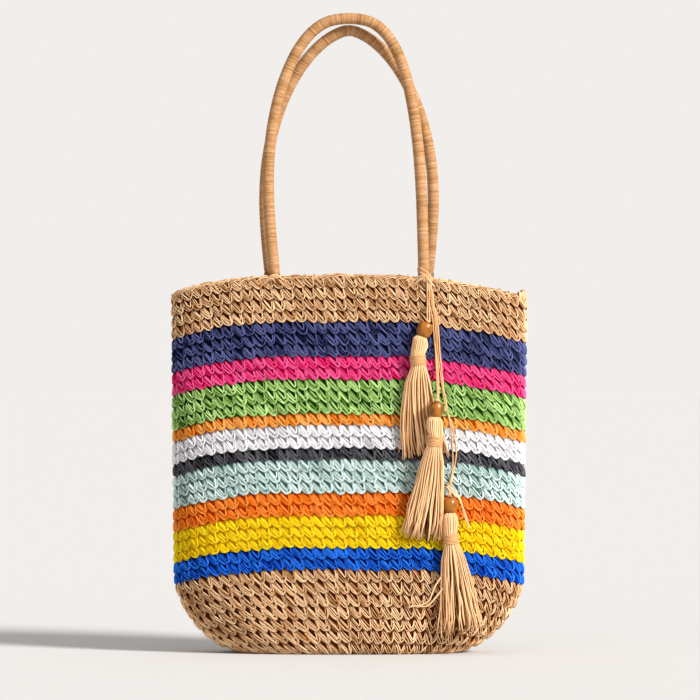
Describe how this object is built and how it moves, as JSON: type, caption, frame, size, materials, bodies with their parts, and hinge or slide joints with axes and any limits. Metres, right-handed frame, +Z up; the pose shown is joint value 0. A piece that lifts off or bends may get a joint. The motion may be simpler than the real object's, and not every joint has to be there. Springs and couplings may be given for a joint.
{
  "type": "crocheted straw tote bag",
  "caption": "Crocheted straw tote bag on an oval base, with coloured stripes, two wrapped rope handles that fold outwards and a hanging charm of beads and tassels.",
  "frame": {"origin": "on the ground under the middle of the oval base", "axes": "+Z up along the bag's height, -Y out of the front that carries the charm, +X towards the charm's side as seen from the front"},
  "size_m": [0.3538, 0.1208, 0.6416],
  "materials": {
    "tan_straw": "twisted paper straw, natural tan, slight sheen",
    "blue_straw": "twisted paper straw dyed blue, slight sheen",
    "yellow_straw": "twisted paper straw dyed yellow, slight sheen",
    "orange_straw": "twisted paper straw dyed orange, slight sheen",
    "mint_straw": "twisted paper straw dyed pale mint, slight sheen",
    "black_straw": "twisted paper straw dyed black, slight sheen",
    "white_straw": "twisted paper straw bleached white, slight sheen",
    "green_straw": "twisted paper straw dyed leaf green, slight sheen",
    "pink_straw": "twisted paper straw dyed pink, slight sheen",
    "navy_straw": "twisted paper straw dyed navy, slight sheen",
    "handle_yarn": "fine paper straw wrapped tightly round the rope, golden tan",
    "rope_core": "rough laid rope",
    "raffia": "raffia strands, pale tan, slight sheen",
    "varnished_wood": "turned wood under glossy amber varnish"
  },
  "bodies": {
    "bag": {"tan_base": "tan_straw", "blue_stripe": "blue_straw", "yellow_stripe": "yellow_straw", "orange_stripe": "orange_straw", "mint_stripe": "mint_straw", "black_stripe": "black_straw", "white_stripe": "white_straw", "thin_orange_stripe": "orange_straw", "green_stripe": "green_straw", "pink_stripe": "pink_straw", "navy_stripe": "navy_straw", "tan_rim": "tan_straw", "front_handle_left_stitch": "handle_yarn", "front_handle_right_stitch": "handle_yarn", "back_handle_left_stitch": "handle_yarn", "back_handle_right_stitch": "handle_yarn", "charm_knot": "raffia", "upper_cord": "raffia", "middle_cord": "raffia", "lower_cord": "raffia", "upper_bead": "varnished_wood", "middle_bead": "varnished_wood", "lower_bead": "varnished_wood", "upper_tassel": "raffia", "middle_tassel": "raffia", "lower_tassel": "raffia", "upper_binding": "raffia", "middle_binding": "raffia", "lower_binding": "raffia"},
    "front_handle": {"front_handle_yarn_wrap": "handle_yarn", "front_handle_rope_core": "rope_core"},
    "back_handle": {"back_handle_yarn_wrap": "handle_yarn", "back_handle_rope_core": "rope_core"}
  },
  "joints": [
    {"name": "front_handle_fold", "type": "hinge", "parent": "bag", "child": "front_handle", "pos_m": [0, -0.02747, 0.38308], "axis": [1, 0, 0], "range_deg": [0, 90]},
    {"name": "back_handle_fold", "type": "hinge", "parent": "bag", "child": "back_handle", "pos_m": [0, 0.02718, 0.38286], "axis": [-1, 0, 0], "range_deg": [0, 90]}
  ]
}
